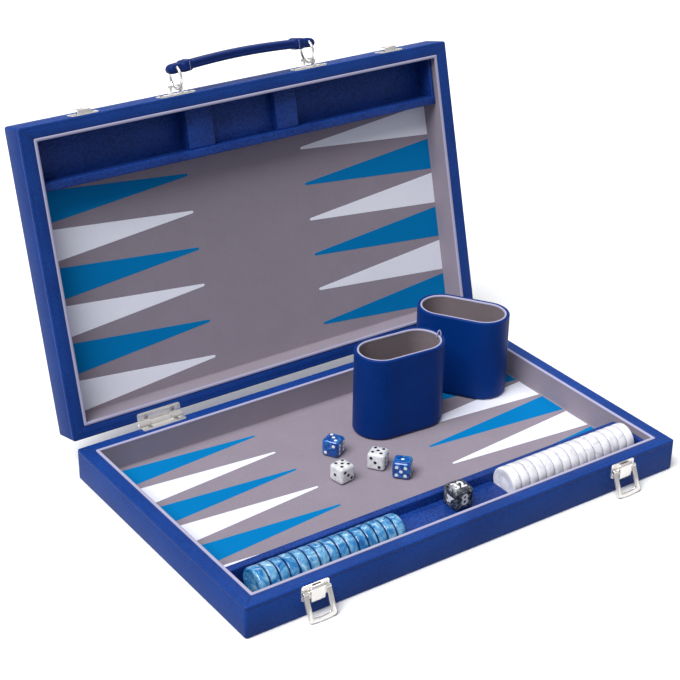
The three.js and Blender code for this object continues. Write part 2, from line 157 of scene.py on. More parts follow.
def leather(name, colour, deep, grain, strength, rough=(0.42, 0.58), shine=0.16):
    """Pebbled leather: grain is the pebbles' scale, strength how far they stand out."""
    mat, nodes, links, bsdf, where = new_material(name)
    pebble = cells(nodes, links, where, grain)
    fine = noise(nodes, links, where, grain * 3.2, 4)
    tone = noise(nodes, links, where, 28, 3)
    mixed = calculate(nodes, links, calculate(nodes, links, tone, "MULTIPLY", 0.55), "ADD",
                      calculate(nodes, links, pebble, "MULTIPLY", 0.55))
    links.new(ramp(nodes, links, mixed, [(0.25, colour), (0.85, deep)]), bsdf.inputs["Base Color"])
    links.new(remap(nodes, links, fine, *rough), bsdf.inputs["Roughness"])
    pebbled = bump(nodes, links, pebble, strength, -0.0005)
    links.new(bump(nodes, links, fine, 0.25, 0.00012, pebbled), bsdf.inputs["Normal"])
    bsdf.inputs["Specular IOR Level"].default_value = shine
    return mat


def felt(name, colour, pale, scale=2600, strength=0.5, sheen=0.12):
    """Short fuzz that mixes two colours, with a faint cloud over it."""
    mat, nodes, links, bsdf, where = new_material(name)
    fuzz = noise(nodes, links, where, scale, 5, 0.75)
    cloud = noise(nodes, links, where, 45, 4, 0.6)
    mixed = calculate(nodes, links, calculate(nodes, links, fuzz, "MULTIPLY", 0.88), "ADD",
                      calculate(nodes, links, cloud, "MULTIPLY", 0.12))
    links.new(ramp(nodes, links, mixed, [(0.3, colour), (0.72, pale)]), bsdf.inputs["Base Color"])
    links.new(bump(nodes, links, fuzz, strength, 0.0003), bsdf.inputs["Normal"])
    bsdf.inputs["Roughness"].default_value = 0.95
    bsdf.inputs["Sheen Weight"].default_value = sheen
    bsdf.inputs["Sheen Roughness"].default_value = 0.6
    bsdf.inputs["Specular IOR Level"].default_value = 0.05
    return mat


def plated(name, colour):
    """Bright plating, a little smeared and uneven."""
    mat, nodes, links, bsdf, where = new_material(name)
    bsdf.inputs["Metallic"].default_value = 0.7
    smear = noise(nodes, links, where, 160, 4, 0.6)
    links.new(ramp(nodes, links, smear, [(0.35, tuple(c * 0.9 for c in colour)), (0.65, colour)]),
              bsdf.inputs["Base Color"])
    links.new(remap(nodes, links, smear, 0.1, 0.24), bsdf.inputs["Roughness"])
    uneven = noise(nodes, links, where, 900, 3)
    links.new(bump(nodes, links, uneven, 0.06, 0.0002), bsdf.inputs["Normal"])
    return mat


def paint_shade_between_discs(nodes, links, where, colour, first, shade):
    """A stack's colour with painted shade where neighbouring discs meet, darkened there towards the colour shade.
    The first disc's middle is at x = first.
    """
    split = nodes.new("ShaderNodeSeparateXYZ")
    links.new(where, split.inputs[0])
    across = calculate(nodes, links, split.outputs["X"], "SUBTRACT", 0.001 * (first - PITCH / 2))
    across = calculate(nodes, links, across, "DIVIDE", 0.001 * PITCH)
    band = ramp(nodes, links, calculate(nodes, links, across, "FRACT", 0.0),
                [(0.03, shade), (0.17, (1, 1, 1)), (0.83, (1, 1, 1)), (0.97, shade)])
    # The stack's two end faces stay bright.
    inner = calculate(nodes, links, calculate(nodes, links, across, "GREATER_THAN", 0.5), "MULTIPLY",
                      calculate(nodes, links, across, "LESS_THAN", DISCS - 0.5))
    tint = nodes.new("ShaderNodeMix")
    tint.data_type = "RGBA"
    tint.blend_type = "MULTIPLY"
    links.new(inner, tint.inputs[0])
    links.new(colour, tint.inputs[6])
    links.new(band, tint.inputs[7])
    return tint.outputs[2]


def acrylic(name, stops, swirl, warp=2.5, disc_shade=None):
    """Polished resin with swirled colours; for a stack of discs the last argument gives the first disc's x and the
    colour of the painted shade where the discs meet.
    """
    mat, nodes, links, bsdf, where = new_material(name)
    veins = noise(nodes, links, where, swirl, 6, 0.62, warp)
    colour = ramp(nodes, links, veins, stops)
    # Painted shade where the stacked discs meet.
    if disc_shade:
        colour = paint_shade_between_discs(nodes, links, where, colour, *disc_shade)
    links.new(colour, bsdf.inputs["Base Color"])
    links.new(bump(nodes, links, noise(nodes, links, where, 260, 2), 0.05, 0.0003), bsdf.inputs["Normal"])
    bsdf.inputs["Roughness"].default_value = 0.12
    bsdf.inputs["Coat Weight"].default_value = 0.4
    bsdf.inputs["Coat Roughness"].default_value = 0.05
    return mat


def plain(name, colour, rough):
    """One dull colour with fine specks."""
    mat, nodes, links, bsdf, where = new_material(name)
    speck = noise(nodes, links, where, 900, 3)
    links.new(ramp(nodes, links, speck, [(0.3, tuple(c * 0.85 for c in colour)), (0.7, colour)]),
              bsdf.inputs["Base Color"])
    bsdf.inputs["Roughness"].default_value = rough
    return mat


CASE = leather("case_leather", srgb(26, 70, 150), srgb(12, 42, 108), 1150, 0.35)
GRIP = leather("grip_leather", srgb(12, 46, 116), srgb(5, 26, 80), 1400, 0.2)
TRAY = leather("tray_leather", srgb(28, 68, 150), srgb(6, 28, 88), 560, 0.75, (0.4, 0.55), 0.22)
CUP = leather("cup_leather", srgb(0, 54, 130), srgb(0, 34, 98), 1700, 0.1, (0.4, 0.5), 0.12)
SEAM = plain("seam", srgb(8, 22, 70), 0.6)
FELT = felt("grey_felt", srgb(122, 113, 124), srgb(159, 149, 163))
CUP_FELT = felt("cup_felt", srgb(92, 82, 88), srgb(140, 128, 134), 2200)
PIPING = felt("piping", srgb(150, 147, 178), srgb(190, 187, 212), 3200, 0.3)
BLUE_FELT = felt("blue_point", srgb(0, 108, 170), srgb(6, 128, 192), 3000, 0.35, 0.0)
WHITE_FELT = felt("white_point", srgb(222, 224, 242), srgb(248, 249, 255), 3000, 0.3)
NICKEL = plated("nickel", (0.93, 0.9, 0.86))
# Near-black for the painted shade in the hardware's recesses and under its parts.
RECESS_SHADE = plain("painted_recess_shade", (0.012, 0.011, 0.01), 0.5)
# The two pearls paint shade where their stacked discs meet; the last argument is the first disc's x and the shade's
# colour.
BLUE_PEARL = acrylic(
    "blue_pearl",
    [(0.3, srgb(6, 72, 142)), (0.44, srgb(40, 122, 182)), (0.56, srgb(112, 170, 208)),
     (0.7, srgb(196, 224, 240))],
    80, 1.6, (BLUE_STACK[0], (0.05, 0.1, 0.25)))
WHITE_PEARL = acrylic(
    "white_pearl",
    [(0.3, srgb(206, 204, 210)), (0.5, srgb(236, 236, 242)), (0.7, srgb(255, 255, 255))],
    60, 2.0, (WHITE_STACK[0], (0.72, 0.72, 0.78)))
DIE_BLUE = acrylic(
    "die_blue", [(0.3, srgb(2, 38, 110)), (0.5, srgb(10, 78, 160)), (0.72, srgb(60, 146, 212))], 120)
DIE_WHITE = acrylic(
    "die_white", [(0.3, srgb(188, 190, 194)), (0.5, srgb(218, 220, 222)), (0.7, srgb(240, 240, 242))], 120)
SMOKE = acrylic(
    "smoke_pearl",
    [(0.32, srgb(14, 16, 22)), (0.48, srgb(46, 50, 58)), (0.6, srgb(120, 124, 130)),
     (0.72, srgb(176, 178, 182))],
    150, 3.0)
PIP_WHITE = plain("pip_white", (0.85, 0.85, 0.86), 0.4)
PIP_BLACK = plain("pip_black", (0.012, 0.012, 0.014), 0.4)


# ---- mesh helpers ----
def make(name, bm, material, body, place=BASE, nodes=(), smooth=40):
    """Turn bm into a finished piece that rides on a body; it stands in for the CAD nodes it is given."""
    bm.transform(MM @ place)
    bmesh.ops.recalc_face_normals(bm, faces=bm.faces)
    mesh = bpy.data.meshes.new(name)
    bm.to_mesh(mesh)
    bm.free()
    mesh.materials.append(material)
    mesh.shade_smooth()
    mesh.set_sharp_from_angle(angle=math.radians(smooth))
    piece = bpy.data.objects.new(name, mesh)
    bpy.context.scene.collection.objects.link(piece)
    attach(piece, body)
    if nodes:
        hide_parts(*nodes)
    return piece


def loft(bm, rings, caps=False):
    """Closed rings joined in order; without caps the last one joins the first."""
    rows = [[bm.verts.new(p) for p in ring] for ring in rings]
    pairs = list(zip(rows, rows[1:]))
    if not caps:
        pairs.append((rows[-1], rows[0]))
    for low, high in pairs:
        for i in range(len(low)):
            j = (i + 1) % len(low)
            bm.faces.new((low[i], low[j], high[j], high[i]))
    if caps:
        bm.faces.new(rows[0][::-1])
        bm.faces.new(rows[-1])
    return bm


def rounded_ring(hx, hy, radius, z, steps=5):
    radius = max(radius, 0.03)
    points = []
    for corner, (sx, sy) in enumerate(((1, 1), (-1, 1), (-1, -1), (1, -1))):
        for k in range(steps + 1):
            a = math.pi / 2 * (corner + k / steps)
            points.append(Vector((sx * (hx - radius) + radius * math.cos(a),
                                  sy * (hy - radius) + radius * math.sin(a), z)))
    return points


def around_case(profile):
    """A closed profile of (inset, height) carried round the case.

    The profile is drawn for a rim DRAWN_RIM wide. Past EVEN_TO its insets stretch to each side's own rim.
    """
    rings = []
    for q, z in profile:
        share = max(q - EVEN_TO, 0) / (DRAWN_RIM - EVEN_TO)
        rings.append(rounded_ring(HALF_X - q - (RIM_X - DRAWN_RIM) * share,
                                  HALF_Y - q - (RIM_Y - DRAWN_RIM) * share, CASE_CORNER - q, z))
    return loft(bmesh.new(), rings)


def arc(cx, cy, radius, start, end, steps):
    """Points on an arc between two angles in degrees."""
    return [(cx + radius * math.cos(math.radians(start + (end - start) * k / steps)),
             cy + radius * math.sin(math.radians(start + (end - start) * k / steps))) for k in range(steps + 1)]


def slab(outline, z0, z1, edge, segments=2):
    """A plate with a 2-D outline, its top and bottom edges rounded."""
    part = bmesh.new()
    low = [part.verts.new((x, y, z0)) for x, y in outline]
    high = [part.verts.new((x, y, z1)) for x, y in outline]
    part.faces.new(low[::-1])
    part.faces.new(high)
    for i in range(len(low)):
        j = (i + 1) % len(low)
        part.faces.new((low[i], low[j], high[j], high[i]))
    flat = [e for e in part.edges if abs(e.verts[0].co.z - e.verts[1].co.z) < 1e-6]
    bmesh.ops.bevel(part, geom=flat, offset=edge, segments=segments, profile=0.5, affect="EDGES")
    return part


def merge(into, part, matrix=None):
    """Add part to another mesh and free it."""
    if matrix is not None:
        part.transform(matrix)
    mesh = bpy.data.meshes.new("part")
    part.to_mesh(mesh)
    part.free()
    into.from_mesh(mesh)
    bpy.data.meshes.remove(mesh)
    return into


def rounded_box(bm, low, high, edge, segments):
    """A box between two corners, every edge rounded, added to bm."""
    part = bmesh.new()
    bmesh.ops.create_cube(part, size=1)
    size = Vector(high) - Vector(low)
    part.transform(Matrix.Translation((Vector(high) + Vector(low)) / 2) @ Matrix.Diagonal((*size, 1)))
    bmesh.ops.bevel(part, geom=part.edges[:], offset=edge, segments=segments, profile=0.5, affect="EDGES")
    return merge(bm, part)


def lathe(bm, profile, steps, matrix):
    """A profile of (radius, height) turned about local z; it starts and ends on the axis."""
    part = bmesh.new()
    rings = [[(r * math.cos(2 * math.pi * k / steps), r * math.sin(2 * math.pi * k / steps), z)
              for k in range(steps)] for r, z in profile]
    loft(part, rings, caps=True)
    return merge(bm, part, matrix)


def sweep(bm, path, radius, sides, closed=False):
    """A round cord along a path of points, added to bm."""
    points = [Vector(p) for p in path]
    count = len(points)
    rings = []
    normal = None
    for i, point in enumerate(points):
        ahead = points[(i + 1) % count] if closed or i + 1 < count else point
        behind = points[i - 1] if closed or i > 0 else point
        tangent = (ahead - behind).normalized()
        if normal is None:
            normal = tangent.orthogonal().normalized()
        normal = (normal - tangent * normal.dot(tangent)).normalized()
        side = tangent.cross(normal)
        rings.append([point + radius * (normal * math.cos(2 * math.pi * k / sides)
                                        + side * math.sin(2 * math.pi * k / sides)) for k in range(sides)])
    return loft(bm, rings, caps=not closed)


def rounded_outline(width, height, radius):
    return [(p.x, p.y) for p in rounded_ring(width / 2, height / 2, radius, 0)]


# ---- the two halves of the case ----
CASE_CORNER = 2.2
DRAWN_RIM = 10
EVEN_TO = 4
RIM_FACE = HEIGHT - 0.1
FOLD_LAP = 3.4
POINT_ROWS = [-54.2, -25.1, 4.0, 33.1, 62.2, 91.3]
POINT_FOOT = 177.6
POINT_TIP = 52.4
POINT_HALF = 12.75


def case_cover():
    """The leather over a half's frame: rounded outer edges, fold lines beside the rim, a sharp inner edge."""
    profile = [(6.8, 2.6), (6.8, 0.7), (6.3, 0.1)]
    profile += [(q, z) for q, z in reversed(arc(1.7, 1.7, 1.65, 180, 270, 6))]
    profile += [(0.05, HEIGHT - 3.1), (0.22, HEIGHT - 2.85), (0.05, HEIGHT - 2.6)]
    profile += [(q, z) for q, z in reversed(arc(1.3, HEIGHT - 1.35, 1.25, 90, 180, 6))]
    profile += [(2.35, RIM_FACE), (2.6, HEIGHT - 0.18), (2.85, RIM_FACE)]
    profile += [(9.3, RIM_FACE), (9.85, HEIGHT - 0.35), (DRAWN_RIM, HEIGHT - 0.9), (DRAWN_RIM, BOARD_TOP),
                (6.8, BOARD_TOP)]
    return around_case(profile)


def case_panel():
    """The covered board let into the half's outer face."""
    hx = HALF_X - 7.0
    hy = HALF_Y - 6.1
    steps = [(0, 1.2, 2.6), (0, 1.2, 0.9), (0.25, 1, 0.3), (0.9, 0.6, 0.03)]
    rings = [rounded_ring(hx - q, hy - q, radius, z) for q, radius, z in steps]
    return loft(bmesh.new(), rings, caps=True)


def felt_tub():
    """The felt's floor and walls. The tray covers the floor in front of its rail."""
    hx = HALF_X - RIM_X - 0.15
    hy = HALF_Y - RIM_Y - 0.15
    top = HEIGHT + 0.1
    rings = [rounded_ring(hx, hy, 0.5, BOARD_TOP - 0.05), rounded_ring(hx, hy, 0.5, top),
             rounded_ring(hx - LINING, hy - LINING, 0.3, top)]
    curve = 1.2
    for q, z in arc(-curve, FIELD + curve, curve, 0, -90, 4):
        rings.append(rounded_ring(hx - LINING + q, hy - LINING + q, 0.3, z))
    return loft(bmesh.new(), rings, caps=True)


def piping():
    """The pale cord folded over the lining's edge."""
    profile = [(10.1, HEIGHT - 0.8), (10.05, HEIGHT + 0.05), (10.3, HEIGHT + 0.38), (10.8, HEIGHT + 0.5),
               (11.5, HEIGHT + 0.5), (12.05, HEIGHT + 0.36), (12.32, HEIGHT + 0.05), (12.32, HEIGHT - 0.7),
               (12.0, HEIGHT - 1.0)]
    rings = [rounded_ring(HALF_X - RIM_X + DRAWN_RIM - q, HALF_Y - RIM_Y + DRAWN_RIM - q, 0.8, z, 3)
             for q, z in profile]
    return loft(bmesh.new(), rings)


def mitres():
    """The folds of the covering across the rim's corners, and its overlaps beside the upright edges."""
    bm = bmesh.new()
    corners = [(sx, sy) for sx in (-1, 1) for sy in (-1, 1)]
    for sx, sy in corners:
        for x, y in ((HALF_X - FOLD_LAP, HALF_Y - 0.12), (HALF_X - 0.12, HALF_Y - FOLD_LAP)):
            sweep(bm, [(sx * x, sy * y, z) for z in (2.6, 12.0, HEIGHT - 3.4)], 0.11, 6)
    for sx, sy in corners:
        start = Vector((sx * (HALF_X - 2.9), sy * (HALF_Y - 2.9), RIM_FACE))
        end = Vector((sx * (HALF_X - RIM_X - 0.1), sy * (HALF_Y - RIM_Y - 0.1), RIM_FACE))
        sweep(bm, [start.lerp(end, t) for t in (0, 0.25, 0.5, 0.75, 1)], 0.16, 6)
    return bm


def tray(rail, spans):
    """The leather tray: a rail, a front skin, end walls and stepped floors, each with soft edges."""
    back, width = rail
    front = -HALF_Y + RIM_Y + LINING + 0.3
    x = HALF_X - RIM_X - LINING - 0.35
    bm = bmesh.new()
    rounded_box(bm, (-x, back - width, BOARD_TOP), (x, back - 0.02, TRAY_TOP), 1.1, 4)
    rounded_box(bm, (-x, front, BOARD_TOP), (x, front + 0.9, TRAY_TOP), 0.35, 2)
    for side in (-1, 1):
        ends = sorted((side * x, side * (x - 3.0)))
        rounded_box(bm, (ends[0], front, BOARD_TOP), (ends[1], back - 0.5, TRAY_TOP - 0.05), 0.9, 3)
    for x0, x1, floor in spans:
        edge = 1.2 if floor > FIELD else 0.3
        rounded_box(bm, (x0 - 0.4, front + 0.5, BOARD_TOP), (x1 + 0.4, back - width + 0.5, floor + 0.02), edge, 3)
    return bm


def point(side, y, rail_back):
    """One inlaid point: a long triangle with a blunt tip, its foot at the short wall."""
    foot = side * POINT_FOOT
    tip = side * POINT_TIP
    low = max(y - POINT_HALF, rail_back + 0.3)
    outline = [(foot, low), (tip, y - 1.0), (tip - side * 0.9, y), (tip, y + 1.0), (foot, y + POINT_HALF)]
    if side > 0:
        outline.reverse()
    return slab(outline, FIELD - 0.4, FIELD + 0.07, 0.04, 1)


for half, place, rail, spans in (("base", BASE, BASE_RAIL, BASE_CELLS), ("lid", LID, LID_RAIL, LID_CELLS)):
    panel_node = "base_bottom_panel" if half == "base" else "lid_panel"
    tray_node = "checker_tray" if half == "base" else "lid_tray"
    make(half + "_cover", case_cover(), CASE, half, place, [half + "_frame"], 50)
    make(half + "_panel_cover", case_panel(), CASE, half, place, [panel_node])
    make(half + "_felt", felt_tub(), FELT, half, place, [half + "_lining"])
    make(half + "_piping", piping(), PIPING, half, place)
    make(half + "_mitres", mitres(), SEAM, half, place)
    make(half + "_tray_cover", tray(rail, spans), TRAY, half, place, [tray_node])
    for row, y in enumerate(POINT_ROWS):
        for side in (-1, 1):
            # Blue and white alternate along each side and across the board, and the halves are opposite.
            blue = (row % 2 == 0) == (side > 0) if half == "base" else (row % 2 == 0) == (side < 0)
            name = f"{half}_point_{'left' if side < 0 else 'right'}_{row + 1}"
            make(name, point(side, y, rail[0]), BLUE_FELT if blue else WHITE_FELT, half, place)


# ---- hardware ----
TURN_TO_X = Matrix.Rotation(math.radians(90), 4, "Y")
PLATE_LOW = 0.05
PLATE_HIGH = 0.8


def screw(bm, x, y, z, turn=20.0, radius=1.5):
    """A cross-head screw standing in local z. It returns a near-black mesh of painted shade: the cross in the head
    and a ring round the head for the shadow of its countersink.
    """
    at = Matrix.Translation((x, y, z))
    head = [(0, -0.2), (radius, -0.2), (radius, 0.08), (radius * 0.86, 0.26), (radius * 0.5, 0.4), (0, 0.44)]
    lathe(bm, head, 28, at)
    dark = lathe(bmesh.new(), [(0, 0), (radius * 1.2, 0), (radius * 1.2, 0.2), (0, 0.2)], 28, at)
    for quarter in (0, 90):
        part = bmesh.new()
        bmesh.ops.create_cube(part, size=1)
        part.transform(at @ Matrix.Rotation(math.radians(turn + quarter), 4, "Z")
                       @ Matrix.Translation((0, 0, 0.38)) @ Matrix.Diagonal((radius * 1.5, 0.46, 0.2, 1)))
        merge(dark, part)
    return dark


def hardware(name, bm, dark, body, place, nodes):
    """A plated piece, and beside it a near-black one for the painted shade in its recesses and under its parts."""
    make(name, bm, NICKEL, body, place, nodes, 35)
    make(name + "_recess", dark, RECESS_SHADE, body, place)


HINGE_X = 118.5
HINGE_HALF = 18.5
KNUCKLE_AT = (-HINGE_HALF, -HINGE_HALF / 2, HINGE_HALF / 2, HINGE_HALF)
BARREL = 2.1
LEAF = 0.6
BASE_LEAF_UP = 0.05
LID_LEAF_UP = 1.15
HINGE_SCREWS = ((-11.3, -2.6), (11.3, -2.6))


def hinge_leaf(height):
    """One leaf in the closed case. Local x runs along the pin."""
    outline = [(-HINGE_HALF + 1.6, -6.4), (HINGE_HALF - 1.6, -6.4)]
    outline += arc(HINGE_HALF - 1.7, -4.7, 1.7, -80, 0, 4)
    outline += [(HINGE_HALF, 0.3), (-HINGE_HALF, 0.3)]
    outline += arc(-HINGE_HALF + 1.7, -4.7, 1.7, 180, 260, 4)
    return slab(outline, height, height + LEAF, 0.14)


def knuckle(bm, x0, x1):
    """One barrel of the hinge, its ends chamfered."""
    profile = [(0, x0), (BARREL - 0.3, x0), (BARREL, x0 + 0.25), (BARREL, x1 - 0.25), (BARREL - 0.3, x1), (0, x1)]
    lathe(bm, profile, 40, Matrix.Translation((0, PIN_OUT, PIN_UP)) @ TURN_TO_X)


def rolled(bm, x0, x1, height):
    """The strip of leaf that runs into a knuckle."""
    rounded_box(bm, (x0, -0.6, height), (x1, PIN_OUT, height + LEAF), 0.1, 1)


for side, label in ((-1, "left"), (1, "right")):
    at = Matrix.Translation((side * HINGE_X, HALF_Y, HEIGHT))
    base_leaf = hinge_leaf(BASE_LEAF_UP)
    for x0, x1 in (KNUCKLE_AT[:2], KNUCKLE_AT[2:]):
        knuckle(base_leaf, x0, x1)
        rolled(base_leaf, x0, x1, BASE_LEAF_UP)
    # The pin's two rounded ends.
    for end in (-1, 1):
        lathe(base_leaf, [(0, 0), (1.15, 0), (1.2, 0.25), (0.8, 0.5), (0, 0.55)], 24,
              Matrix.Translation((end * (HINGE_HALF - 0.1), PIN_OUT, PIN_UP))
              @ Matrix.Rotation(math.radians(90 * end), 4, "Y"))
    # Near-black painted shade in and round the screw heads.
    dark = bmesh.new()
    for x, y in HINGE_SCREWS:
        merge(dark, screw(base_leaf, x, y, 0.5))
    hardware("hinge_base_" + label, base_leaf, dark, "base", at, ["hinge_base_leaf_" + label])
    lid_leaf = hinge_leaf(LID_LEAF_UP)
    knuckle(lid_leaf, KNUCKLE_AT[1] + 0.3, KNUCKLE_AT[2] - 0.3)
    rolled(lid_leaf, KNUCKLE_AT[1] + 0.4, KNUCKLE_AT[2] - 0.4, LID_LEAF_UP)
    # The lid leaf's screws go in from below when the case is closed.
    # Near-black painted shade in and round the screw heads.
    dark = bmesh.new()
    heads = bmesh.new()
    for x, y in HINGE_SCREWS:
        merge(dark, screw(heads, x, y, 0.0, 65))
    down = Matrix.Translation((0, 0, LID_LEAF_UP + 0.1)) @ Matrix.Diagonal((1, 1, -1, 1))
    merge(lid_leaf, heads, down)
    dark.transform(down)
    hardware("hinge_lid_" + label, lid_leaf, dark, "lid", OPENED @ at, ["hinge_lid_leaf_" + label])

# Latches: a plate with a hump on the base, a bail on its pin, and a catch with a hook on the lid.
LATCH_X = 136.8
BAIL_OUT = 2.5
BAIL_UP = 19.8
BAIL_REST = 23.0


def strap(bm, outline, x0, x1, edge, segments):
    """A profile of (out, up) drawn along local x, in the plate's frame."""
    turn = Matrix(((0, 0, 1, 0), (0, 1, 0, 0), (1, 0, 0, 0), (0, 0, 0, 1)))
    merge(bm, slab(outline, x0, x1, edge, segments), turn)


def screwed_plate(width, height, corner, up):
    """A flat plate whose middle is up from the half's edge."""
    return slab([(x, y + up) for x, y in rounded_outline(width, height, corner)], PLATE_LOW, PLATE_HIGH, 0.18)


def latch_plate():
    bm = screwed_plate(22, 11.5, 1.4, 18.85)
    hump = [(0.3, 12.4)] + arc(3.3, 13.9, 1.5, -90, 0, 4) + arc(3.0, 22.4, 1.8, 0, 90, 5) + [(0.3, 24.2)]
    strap(bm, hump, -5.5, 5.5, 0.5, 3)
    # Near-black painted shade in the slot at the hump's top and in the pin holes at its sides.
    dark = bmesh.new()
    rounded_box(dark, (-3.6, 23.2, 1.1), (3.6, 24.28, 2.6), 0.2, 2)
    for side in (-1, 1):
        lathe(bm, [(0, 0.7), (1.15, 0.7), (1.15, 0.95), (0.8, 1.15), (0, 1.2)], 24,
              Matrix.Translation((side * 8.6, 22.2, 0)))
        lathe(dark, [(0, 0), (1.25, 0), (1.25, 0.12), (0, 0.12)], 20,
              Matrix.Translation((side * 5.42, BAIL_UP, BAIL_OUT))
              @ Matrix.Rotation(math.radians(90 * side), 4, "Y"))
    return bm, dark


def bail():
    """A flat loop: two arms and a bowed end, hanging down from its pin."""
    outer = [(-11, 1.1), (-11, -17.6)] + arc(-8.6, -17.8, 2.4, 180, 258, 5) + [(-4.5, -20.55), (0, -20.8)]
    outer += [(-x, y) for x, y in reversed(outer[1:-1])] + [(11, 1.1)]
    inner = [(7.4, 1.1), (7.4, -16.2)] + arc(5.9, -16.2, 1.5, 0, -85, 4) + [(0, -18.0)]
    inner += [(-x, y) for x, y in reversed(inner[1:-1])] + [(-7.4, 1.1)]
    bm = slab(outer + inner, -0.8, 0.8, 0.32, 3)
    lathe(bm, [(0, -10.6), (0.9, -10.6), (0.9, 10.6), (0, 10.6)], 24, TURN_TO_X)
    for arm in (-9.2, 9.2):
        lathe(bm, [(0, arm - 1.8), (1.05, arm - 1.8), (1.25, arm - 1.55), (1.25, arm + 1.55), (1.05, arm + 1.8),
                   (0, arm + 1.8)], 24, TURN_TO_X)
    return bm


def catch_plate():
    bm = screwed_plate(22, 9.5, 1.4, 5.35)
    hook = [(0.4, 1.6), (3.0, 2.0)] + arc(3.1, 3.1, 1.1, -80, 0, 4)
    hook += [(4.2, 8.9), (3.9, 9.2), (3.4, 9.2), (3.1, 8.9), (3.1, 4.0), (2.4, 3.2), (0.4, 2.9)]
    strap(bm, hook, -5.25, 5.25, 0.16, 2)
    # Near-black painted shade in the screw heads and behind the hook.
    dark = bmesh.new()
    for side in (-1, 1):
        merge(dark, screw(bm, side * 8.1, 5.6, 0.65, 30 * side, 1.25))
    rounded_box(dark, (-4.6, 3.6, 0.75), (4.6, 8.6, 0.95), 0.1, 1)
    return bm, dark


for side, label in ((-1, "left"), (1, "right")):
    at = Matrix.Translation((side * LATCH_X, 0, 0)) @ ON_FRONT
    plate, latch_shade = latch_plate()
    hardware("latch_" + label, plate, latch_shade, "base", at, ["latch_plate_" + label])
    hang = (Matrix.Translation((side * LATCH_X, -HALF_Y - BAIL_OUT, BAIL_UP))
            @ Matrix.Rotation(math.radians(90 - BAIL_REST), 4, "X"))
    make("bail_" + label, bail(), NICKEL, "latch_bail_" + label, hang, ["latch_bail_" + label], 35)
    catch, catch_shade = catch_plate()
    hardware("catch_" + label, catch, catch_shade, "lid", LID_RIM @ at, ["catch_plate_" + label])

# Handle: brackets, rings and a padded grip. Local y is across the lid's edge, local z out from it.
HANDLE_X = 59.5
HANDLE_W = 5.6
# The rings stand closer together than the brackets, and the handle has slid to one side.
RING_X = 58.75
SLIP = 1.25
RING_OUT = 12.9
RING_R = 8.6
RING_WIRE = 1.1
GRIP_OUT = 19.0
GRIP_RISE = 3.2
# Half lengths: where the plain strap ends, where its sleeve ends, where the eye's rounding starts, and the tip.
STRAP_END = 45.2
SLEEVE_END = 52.8
EYE_ROUND = 60.5
GRIP_TIP = 65.25
GRIP_STEP = 0.9


def bracket():
    bm = slab([(x, y + HANDLE_W) for x, y in rounded_outline(31, 9, 2.4)], PLATE_LOW, 0.9, 0.2)
    bow = [(-5.4, 0.4)] + arc(-3.0, 5.2, 2.4, 180, 90, 6) + arc(3.0, 5.2, 2.4, 90, 0, 6) + [(5.4, 0.4)]
    bow += [(4.0, 0.4)] + arc(2.9, 5.3, 1.1, 0, 90, 5) + arc(-2.9, 5.3, 1.1, 90, 180, 5) + [(-4.0, 0.4)]
    turn = Matrix(((1, 0, 0, 0), (0, 0, 1, HANDLE_W), (0, 1, 0, 0), (0, 0, 0, 1)))
    merge(bm, slab(bow, -2.4, 2.4, 0.25, 2), turn)
    # Near-black painted shade in and round the screw heads.
    dark = bmesh.new()
    for side in (-1, 1):
        merge(dark, screw(bm, side * 12.0, HANDLE_W, 0.75, 40 * side, 1.6))
    return bm, dark


def ring_path(steps=64):
    return [(0, HANDLE_W + RING_R * math.sin(2 * math.pi * k / steps),
             RING_OUT + RING_R * math.cos(2 * math.pi * k / steps)) for k in range(steps)]


def grip_section(x):
    """The grip's middle line at x, its thickness and its width: a thin strap, a sleeve and a rounded eye."""
    a = abs(x)
    rise = GRIP_RISE * math.cos(math.pi / 2 * min(1.0, a / GRIP_TIP))
    thick, width = 7.0, 12.0
    if a > STRAP_END:
        k = min(1.0, (a - STRAP_END) / 1.6)
        thick, width = 7.0 + 1.9 * k, 12.0 + 0.9 * k
    if a > SLEEVE_END:
        k = min(1.0, (a - SLEEVE_END) / 1.6)
        thick, width = 8.9 - 1.4 * k, 12.9 - 3.3 * k
    if a > EYE_ROUND:
        k = min(1.0, (a - EYE_ROUND) / (GRIP_TIP - EYE_ROUND + 0.1))
        round_end = math.sqrt(max(0.02, 1 - k * k))
        thick *= round_end
        width *= 0.35 + 0.65 * round_end
    return GRIP_OUT + rise, thick, width


def grip_ring(x, sides=32):
    """The grip's outline at x: a rounded oblong, pinched along both sides where the strap's two layers meet."""
    out, thick, width = grip_section(x)
    ring = []
    for k in range(sides):
        a = 2 * math.pi * k / sides
        c, s = math.cos(a), math.sin(a)
        w = width / 2 * math.copysign(abs(c) ** 0.5, c)
        t = thick / 2 * math.copysign(abs(s) ** 0.7, s)
        if abs(x) < STRAP_END:
            w *= 1 - 0.14 * math.exp(-(t / 0.6) ** 2)
        ring.append((x + SLIP, HANDLE_W + w, out + t))
    return ring


def grip():
    steps = 72
    stations = [GRIP_STEP * k for k in range(-steps, steps + 1)]
    stations = [-GRIP_TIP + 0.05] + stations + [GRIP_TIP - 0.05]
    return loft(bmesh.new(), [grip_ring(x) for x in stations], caps=True)


def grip_thread():
    """The stitches across each sleeve's inner edge: five on the outer face and four on each side."""
    bm = bmesh.new()
    for x in (-48.6, 48.6):
        out, thick, width = grip_section(x)
        top = out + thick / 2 - 0.1
        for k in range(5):
            w = HANDLE_W - 4.0 + 2.0 * k
            sweep(bm, [(x + SLIP, w - 0.7, top), (x + SLIP, w, top + 0.2), (x + SLIP, w + 0.7, top)], 0.2, 6)
        for t in (-2.6, -0.9, 0.9, 2.6):
            for face in (-1, 1):
                w = HANDLE_W + face * (width / 2 - 0.12)
                sweep(bm, [(x + SLIP, w, out + t - 0.6), (x + SLIP, w + face * 0.15, out + t),
                           (x + SLIP, w, out + t + 0.6)], 0.2, 6)
    return bm


